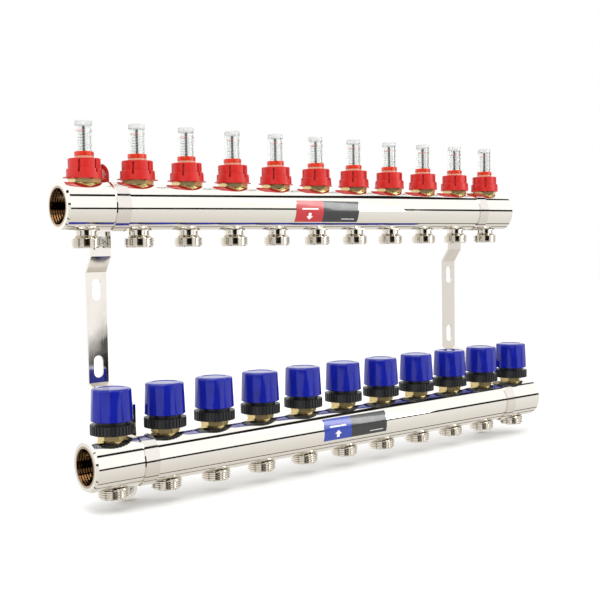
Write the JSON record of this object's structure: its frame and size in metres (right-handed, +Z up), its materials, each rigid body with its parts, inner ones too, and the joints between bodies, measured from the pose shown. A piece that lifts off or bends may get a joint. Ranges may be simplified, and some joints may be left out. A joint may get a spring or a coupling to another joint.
{
  "type": "underfloor heating manifold",
  "caption": "Plated brass supply and return bars on wall brackets, with a flow meter and a hand-capped valve for each heating circuit.",
  "frame": {"origin": "on the wall plane of the bracket backs, half way along the bars and half way up between their axes", "axes": "+X along the bars, left to right seen from the front; +Y into the wall; +Z up"},
  "size_m": [0.55, 0.0947, 0.3205],
  "materials": {
    "bar_plating": "bright nickel plate on turned brass, a slightly warm mirror",
    "nipple_plating": "bright nickel plate on cut threads",
    "strip_plating": "bright plate on rolled steel strip",
    "turned_brass": "bare turned brass",
    "fastener_zinc": "bright zinc plate",
    "lock_ring_plastic": "moulded red plastic, satin",
    "nut_plastic": "moulded black plastic, satin",
    "cap_plastic": "moulded blue ABS, polished",
    "spindle_steel": "ground stainless steel",
    "sight_plastic": "clear moulded tube in an orange-red collar",
    "indicator_plastic": "black moulded rod",
    "label_film": "printed film",
    "spring_steel": "drawn stainless wire",
    "seal_rubber": "EPDM"
  },
  "bodies": {
    "root": {"supply_bar": "bar_plating", "return_bar": "bar_plating", "outlet_nipples": "nipple_plating", "flow_meter_bodies": "turned_brass", "lock_rings": "lock_ring_plastic", "valve_inserts": "turned_brass", "cap_collar_nuts": "nut_plastic", "wall_brackets": "strip_plating", "bar_clamps": "strip_plating", "clamp_screws": "fastener_zinc", "clamp_nuts": "fastener_zinc", "supply_label": "label_film", "return_label": "label_film", "valve_springs": "spring_steel", "indicator_springs": "spring_steel", "port_o_rings": "seal_rubber"},
    "spindle_01": {"valve_spindle_01": "spindle_steel"},
    "cap_01": {"blue_cap_01": "cap_plastic"},
    "glass_01": {"sight_glass_01": "sight_plastic"},
    "indicator_01": {"flow_indicator_01": "indicator_plastic"},
    "spindle_02": {"valve_spindle_02": "spindle_steel"},
    "cap_02": {"blue_cap_02": "cap_plastic"},
    "glass_02": {"sight_glass_02": "sight_plastic"},
    "indicator_02": {"flow_indicator_02": "indicator_plastic"},
    "spindle_03": {"valve_spindle_03": "spindle_steel"},
    "cap_03": {"blue_cap_03": "cap_plastic"},
    "glass_03": {"sight_glass_03": "sight_plastic"},
    "indicator_03": {"flow_indicator_03": "indicator_plastic"},
    "spindle_04": {"valve_spindle_04": "spindle_steel"},
    "cap_04": {"blue_cap_04": "cap_plastic"},
    "glass_04": {"sight_glass_04": "sight_plastic"},
    "indicator_04": {"flow_indicator_04": "indicator_plastic"},
    "spindle_05": {"valve_spindle_05": "spindle_steel"},
    "cap_05": {"blue_cap_05": "cap_plastic"},
    "glass_05": {"sight_glass_05": "sight_plastic"},
    "indicator_05": {"flow_indicator_05": "indicator_plastic"},
    "spindle_06": {"valve_spindle_06": "spindle_steel"},
    "cap_06": {"blue_cap_06": "cap_plastic"},
    "glass_06": {"sight_glass_06": "sight_plastic"},
    "indicator_06": {"flow_indicator_06": "indicator_plastic"},
    "spindle_07": {"valve_spindle_07": "spindle_steel"},
    "cap_07": {"blue_cap_07": "cap_plastic"},
    "glass_07": {"sight_glass_07": "sight_plastic"},
    "indicator_07": {"flow_indicator_07": "indicator_plastic"},
    "spindle_08": {"valve_spindle_08": "spindle_steel"},
    "cap_08": {"blue_cap_08": "cap_plastic"},
    "glass_08": {"sight_glass_08": "sight_plastic"},
    "indicator_08": {"flow_indicator_08": "indicator_plastic"},
    "spindle_09": {"valve_spindle_09": "spindle_steel"},
    "cap_09": {"blue_cap_09": "cap_plastic"},
    "glass_09": {"sight_glass_09": "sight_plastic"},
    "indicator_09": {"flow_indicator_09": "indicator_plastic"},
    "spindle_10": {"valve_spindle_10": "spindle_steel"},
    "cap_10": {"blue_cap_10": "cap_plastic"},
    "glass_10": {"sight_glass_10": "sight_plastic"},
    "indicator_10": {"flow_indicator_10": "indicator_plastic"},
    "spindle_11": {"valve_spindle_11": "spindle_steel"},
    "cap_11": {"blue_cap_11": "cap_plastic"},
    "glass_11": {"sight_glass_11": "sight_plastic"},
    "indicator_11": {"flow_indicator_11": "indicator_plastic"}
  },
  "joints": [
    {"name": "spindle_slide_01", "type": "slide", "parent": "root", "child": "spindle_01", "axis": [0, 0, -1], "range_m": [0, 0.0025], "stiffness_N_per_m": 1500, "springref_m": -0.002, "deforming": ["valve_springs"]},
    {"name": "cap_turn_01", "type": "hinge", "parent": "spindle_01", "child": "cap_01", "pos_m": [-0.25, -0.072, -0.065], "axis": [0, 0, -1], "range_deg": [0, 600]},
    {"name": "glass_turn_01", "type": "hinge", "parent": "root", "child": "glass_01", "pos_m": [-0.25, -0.035, 0.155], "axis": [0, 0, -1], "range_deg": [0, 900]},
    {"name": "indicator_slide_01", "type": "slide", "parent": "root", "child": "indicator_01", "axis": [0, 0, 1], "range_m": [-0.02, 0], "stiffness_N_per_m": 20, "springref_m": 0.005, "deforming": ["indicator_springs"]},
    {"name": "spindle_slide_02", "type": "slide", "parent": "root", "child": "spindle_02", "axis": [0, 0, -1], "range_m": [0, 0.0025], "stiffness_N_per_m": 1500, "springref_m": -0.002},
    {"name": "cap_turn_02", "type": "hinge", "parent": "spindle_02", "child": "cap_02", "pos_m": [-0.2, -0.072, -0.065], "axis": [0, 0, -1], "range_deg": [0, 600]},
    {"name": "glass_turn_02", "type": "hinge", "parent": "root", "child": "glass_02", "pos_m": [-0.2, -0.035, 0.155], "axis": [0, 0, -1], "range_deg": [0, 900]},
    {"name": "indicator_slide_02", "type": "slide", "parent": "root", "child": "indicator_02", "axis": [0, 0, 1], "range_m": [-0.02, 0], "stiffness_N_per_m": 20, "springref_m": 0.005},
    {"name": "spindle_slide_03", "type": "slide", "parent": "root", "child": "spindle_03", "axis": [0, 0, -1], "range_m": [0, 0.0025], "stiffness_N_per_m": 1500, "springref_m": -0.002},
    {"name": "cap_turn_03", "type": "hinge", "parent": "spindle_03", "child": "cap_03", "pos_m": [-0.15, -0.072, -0.065], "axis": [0, 0, -1], "range_deg": [0, 600]},
    {"name": "glass_turn_03", "type": "hinge", "parent": "root", "child": "glass_03", "pos_m": [-0.15, -0.035, 0.155], "axis": [0, 0, -1], "range_deg": [0, 900]},
    {"name": "indicator_slide_03", "type": "slide", "parent": "root", "child": "indicator_03", "axis": [0, 0, 1], "range_m": [-0.02, 0], "stiffness_N_per_m": 20, "springref_m": 0.005},
    {"name": "spindle_slide_04", "type": "slide", "parent": "root", "child": "spindle_04", "axis": [0, 0, -1], "range_m": [0, 0.0025], "stiffness_N_per_m": 1500, "springref_m": -0.002},
    {"name": "cap_turn_04", "type": "hinge", "parent": "spindle_04", "child": "cap_04", "pos_m": [-0.1, -0.072, -0.065], "axis": [0, 0, -1], "range_deg": [0, 600]},
    {"name": "glass_turn_04", "type": "hinge", "parent": "root", "child": "glass_04", "pos_m": [-0.1, -0.035, 0.155], "axis": [0, 0, -1], "range_deg": [0, 900]},
    {"name": "indicator_slide_04", "type": "slide", "parent": "root", "child": "indicator_04", "axis": [0, 0, 1], "range_m": [-0.02, 0], "stiffness_N_per_m": 20, "springref_m": 0.005},
    {"name": "spindle_slide_05", "type": "slide", "parent": "root", "child": "spindle_05", "axis": [0, 0, -1], "range_m": [0, 0.0025], "stiffness_N_per_m": 1500, "springref_m": -0.002},
    {"name": "cap_turn_05", "type": "hinge", "parent": "spindle_05", "child": "cap_05", "pos_m": [-0.05, -0.072, -0.065], "axis": [0, 0, -1], "range_deg": [0, 600]},
    {"name": "glass_turn_05", "type": "hinge", "parent": "root", "child": "glass_05", "pos_m": [-0.05, -0.035, 0.155], "axis": [0, 0, -1], "range_deg": [0, 900]},
    {"name": "indicator_slide_05", "type": "slide", "parent": "root", "child": "indicator_05", "axis": [0, 0, 1], "range_m": [-0.02, 0], "stiffness_N_per_m": 20, "springref_m": 0.005},
    {"name": "spindle_slide_06", "type": "slide", "parent": "root", "child": "spindle_06", "axis": [0, 0, -1], "range_m": [0, 0.0025], "stiffness_N_per_m": 1500, "springref_m": -0.002},
    {"name": "cap_turn_06", "type": "hinge", "parent": "spindle_06", "child": "cap_06", "pos_m": [0, -0.072, -0.065], "axis": [0, 0, -1], "range_deg": [0, 600]},
    {"name": "glass_turn_06", "type": "hinge", "parent": "root", "child": "glass_06", "pos_m": [0, -0.035, 0.155], "axis": [0, 0, -1], "range_deg": [0, 900]},
    {"name": "indicator_slide_06", "type": "slide", "parent": "root", "child": "indicator_06", "axis": [0, 0, 1], "range_m": [-0.02, 0], "stiffness_N_per_m": 20, "springref_m": 0.005},
    {"name": "spindle_slide_07", "type": "slide", "parent": "root", "child": "spindle_07", "axis": [0, 0, -1], "range_m": [0, 0.0025], "stiffness_N_per_m": 1500, "springref_m": -0.002},
    {"name": "cap_turn_07", "type": "hinge", "parent": "spindle_07", "child": "cap_07", "pos_m": [0.05, -0.072, -0.065], "axis": [0, 0, -1], "range_deg": [0, 600]},
    {"name": "glass_turn_07", "type": "hinge", "parent": "root", "child": "glass_07", "pos_m": [0.05, -0.035, 0.155], "axis": [0, 0, -1], "range_deg": [0, 900]},
    {"name": "indicator_slide_07", "type": "slide", "parent": "root", "child": "indicator_07", "axis": [0, 0, 1], "range_m": [-0.02, 0], "stiffness_N_per_m": 20, "springref_m": 0.005},
    {"name": "spindle_slide_08", "type": "slide", "parent": "root", "child": "spindle_08", "axis": [0, 0, -1], "range_m": [0, 0.0025], "stiffness_N_per_m": 1500, "springref_m": -0.002},
    {"name": "cap_turn_08", "type": "hinge", "parent": "spindle_08", "child": "cap_08", "pos_m": [0.1, -0.072, -0.065], "axis": [0, 0, -1], "range_deg": [0, 600]},
    {"name": "glass_turn_08", "type": "hinge", "parent": "root", "child": "glass_08", "pos_m": [0.1, -0.035, 0.155], "axis": [0, 0, -1], "range_deg": [0, 900]},
    {"name": "indicator_slide_08", "type": "slide", "parent": "root", "child": "indicator_08", "axis": [0, 0, 1], "range_m": [-0.02, 0], "stiffness_N_per_m": 20, "springref_m": 0.005},
    {"name": "spindle_slide_09", "type": "slide", "parent": "root", "child": "spindle_09", "axis": [0, 0, -1], "range_m": [0, 0.0025], "stiffness_N_per_m": 1500, "springref_m": -0.002},
    {"name": "cap_turn_09", "type": "hinge", "parent": "spindle_09", "child": "cap_09", "pos_m": [0.15, -0.072, -0.065], "axis": [0, 0, -1], "range_deg": [0, 600]},
    {"name": "glass_turn_09", "type": "hinge", "parent": "root", "child": "glass_09", "pos_m": [0.15, -0.035, 0.155], "axis": [0, 0, -1], "range_deg": [0, 900]},
    {"name": "indicator_slide_09", "type": "slide", "parent": "root", "child": "indicator_09", "axis": [0, 0, 1], "range_m": [-0.02, 0], "stiffness_N_per_m": 20, "springref_m": 0.005},
    {"name": "spindle_slide_10", "type": "slide", "parent": "root", "child": "spindle_10", "axis": [0, 0, -1], "range_m": [0, 0.0025], "stiffness_N_per_m": 1500, "springref_m": -0.002},
    {"name": "cap_turn_10", "type": "hinge", "parent": "spindle_10", "child": "cap_10", "pos_m": [0.2, -0.072, -0.065], "axis": [0, 0, -1], "range_deg": [0, 600]},
    {"name": "glass_turn_10", "type": "hinge", "parent": "root", "child": "glass_10", "pos_m": [0.2, -0.035, 0.155], "axis": [0, 0, -1], "range_deg": [0, 900]},
    {"name": "indicator_slide_10", "type": "slide", "parent": "root", "child": "indicator_10", "axis": [0, 0, 1], "range_m": [-0.02, 0], "stiffness_N_per_m": 20, "springref_m": 0.005},
    {"name": "spindle_slide_11", "type": "slide", "parent": "root", "child": "spindle_11", "axis": [0, 0, -1], "range_m": [0, 0.0025], "stiffness_N_per_m": 1500, "springref_m": -0.002},
    {"name": "cap_turn_11", "type": "hinge", "parent": "spindle_11", "child": "cap_11", "pos_m": [0.25, -0.072, -0.065], "axis": [0, 0, -1], "range_deg": [0, 600]},
    {"name": "glass_turn_11", "type": "hinge", "parent": "root", "child": "glass_11", "pos_m": [0.25, -0.035, 0.155], "axis": [0, 0, -1], "range_deg": [0, 900]},
    {"name": "indicator_slide_11", "type": "slide", "parent": "root", "child": "indicator_11", "axis": [0, 0, 1], "range_m": [-0.02, 0], "stiffness_N_per_m": 20, "springref_m": 0.005}
  ],
  "couplings": [
    {"joint": "cap_turn_01", "follows": "spindle_slide_01", "rad_per_m": 4188.8},
    {"joint": "cap_turn_02", "follows": "spindle_slide_02", "rad_per_m": 4188.8},
    {"joint": "cap_turn_03", "follows": "spindle_slide_03", "rad_per_m": 4188.8},
    {"joint": "cap_turn_04", "follows": "spindle_slide_04", "rad_per_m": 4188.8},
    {"joint": "cap_turn_05", "follows": "spindle_slide_05", "rad_per_m": 4188.8},
    {"joint": "cap_turn_06", "follows": "spindle_slide_06", "rad_per_m": 4188.8},
    {"joint": "cap_turn_07", "follows": "spindle_slide_07", "rad_per_m": 4188.8},
    {"joint": "cap_turn_08", "follows": "spindle_slide_08", "rad_per_m": 4188.8},
    {"joint": "cap_turn_09", "follows": "spindle_slide_09", "rad_per_m": 4188.8},
    {"joint": "cap_turn_10", "follows": "spindle_slide_10", "rad_per_m": 4188.8},
    {"joint": "cap_turn_11", "follows": "spindle_slide_11", "rad_per_m": 4188.8}
  ]
}
